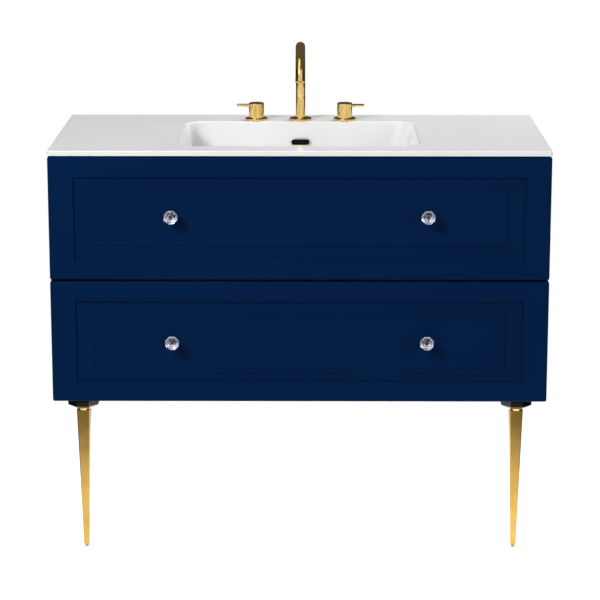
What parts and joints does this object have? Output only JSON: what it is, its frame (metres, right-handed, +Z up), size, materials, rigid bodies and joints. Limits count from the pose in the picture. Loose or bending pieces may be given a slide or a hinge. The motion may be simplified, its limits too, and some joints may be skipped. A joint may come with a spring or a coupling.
{
  "type": "bathroom vanity cabinet",
  "caption": "Wall-hung vanity with two raised-panel drawers, crystal knobs, tapered front legs, a moulded basin top and a three-hole tap set.",
  "frame": {"origin": "middle of the footprint at floor level, counting the knobs in the depth", "axes": "+X to the right seen from the room, +Y towards the wall, +Z up; the drawers open towards -Y"},
  "size_m": [1, 0.488, 1.025],
  "materials": {
    "navy_paint": "satin navy lacquer on fibreboard",
    "carcass_board": "pale textured melamine on chipboard",
    "drawer_board": "oiled birch plywood",
    "fixing_steel": "zinc plated",
    "housing_plastic": "moulded, fine grain",
    "gold": "polished warm gold",
    "crystal": "cut and polished",
    "basin_glaze": "white gloss",
    "chrome": "polished",
    "seal_rubber": "matt",
    "trap_plastic": "moulded white",
    "raw_brass": "machined",
    "runner_steel": "rolled and zinc plated"
  },
  "bodies": {
    "cabinet": {"bottom_panel": "carcass_board", "cam_locks": "fixing_steel", "crystal_collars": "crystal", "foot_glides": "housing_plastic", "front_rail": "carcass_board", "hanger_hooks": "fixing_steel", "hangers": "housing_plastic", "leg_left": "gold", "leg_plate_screws": "fixing_steel", "leg_plates": "fixing_steel", "leg_right": "gold", "leg_rings": "gold", "leg_studs": "fixing_steel", "link_tubes": "raw_brass", "lower_runner_rails": "runner_steel", "overflow_duct": "housing_plastic", "overflow_trim": "chrome", "rear_bottom_rail": "carcass_board", "rear_top_rail": "carcass_board", "side_panel_left": "navy_paint", "side_panel_right": "navy_paint", "spout_shank": "raw_brass", "tap_nuts": "raw_brass", "tap_rosettes": "gold", "tap_valves": "raw_brass", "trap_body": "trap_plastic", "trap_cup": "trap_plastic", "trap_inlet": "trap_plastic", "trap_nuts": "trap_plastic", "trap_outlet": "trap_plastic", "upper_runner_rails": "runner_steel", "wall_plates": "fixing_steel", "washbasin": "basin_glaze", "waste_body": "chrome", "waste_nut": "chrome", "waste_seal": "seal_rubber"},
    "upper_drawer": {"upper_drawer_back": "drawer_board", "upper_drawer_bottom": "drawer_board", "upper_drawer_sides": "drawer_board", "upper_drawer_well": "drawer_board", "upper_front": "navy_paint", "upper_knob_bases": "chrome", "upper_knob_crystals": "crystal", "upper_runner_slides": "runner_steel"},
    "upper_runner_members": {"upper_runner_middles": "runner_steel"},
    "lower_drawer": {"lower_drawer_back": "drawer_board", "lower_drawer_bottom": "drawer_board", "lower_drawer_sides": "drawer_board", "lower_front": "navy_paint", "lower_knob_bases": "chrome", "lower_knob_crystals": "crystal", "lower_runner_slides": "runner_steel"},
    "lower_runner_members": {"lower_runner_middles": "runner_steel"},
    "left_handle": {"handle_left": "gold", "lever_left": "gold"},
    "right_handle": {"handle_right": "gold", "lever_right": "gold"},
    "swivel_spout": {"spout": "gold", "spout_aerator": "gold"},
    "push_plug": {"waste_plug": "gold"}
  },
  "joints": [
    {"name": "upper_drawer_slide", "type": "slide", "parent": "cabinet", "child": "upper_drawer", "axis": [0, -1, 0], "range_m": [0, 0.35]},
    {"name": "upper_runner_travel", "type": "slide", "parent": "cabinet", "child": "upper_runner_members", "axis": [0, -1, 0], "range_m": [0, 0.175]},
    {"name": "lower_drawer_slide", "type": "slide", "parent": "cabinet", "child": "lower_drawer", "axis": [0, -1, 0], "range_m": [0, 0.35]},
    {"name": "lower_runner_travel", "type": "slide", "parent": "cabinet", "child": "lower_runner_members", "axis": [0, -1, 0], "range_m": [0, 0.175]},
    {"name": "left_handle_turn", "type": "hinge", "parent": "cabinet", "child": "left_handle", "pos_m": [-0.095, 0.174, 0.87], "axis": [0, 0, 1], "range_deg": [0, 90]},
    {"name": "right_handle_turn", "type": "hinge", "parent": "cabinet", "child": "right_handle", "pos_m": [0.095, 0.174, 0.87], "axis": [0, 0, 1], "range_deg": [-90, 0]},
    {"name": "spout_swivel", "type": "hinge", "parent": "cabinet", "child": "swivel_spout", "pos_m": [0, 0.174, 0.9], "axis": [0, 0, 1], "range_deg": [-60, 60]},
    {"name": "plug_lift", "type": "slide", "parent": "cabinet", "child": "push_plug", "axis": [0, 0, 1], "range_m": [0, 0.008]}
  ],
  "couplings": [
    {"joint": "upper_runner_travel", "follows": "upper_drawer_slide", "ratio": 0.5},
    {"joint": "lower_runner_travel", "follows": "lower_drawer_slide", "ratio": 0.5}
  ]
}
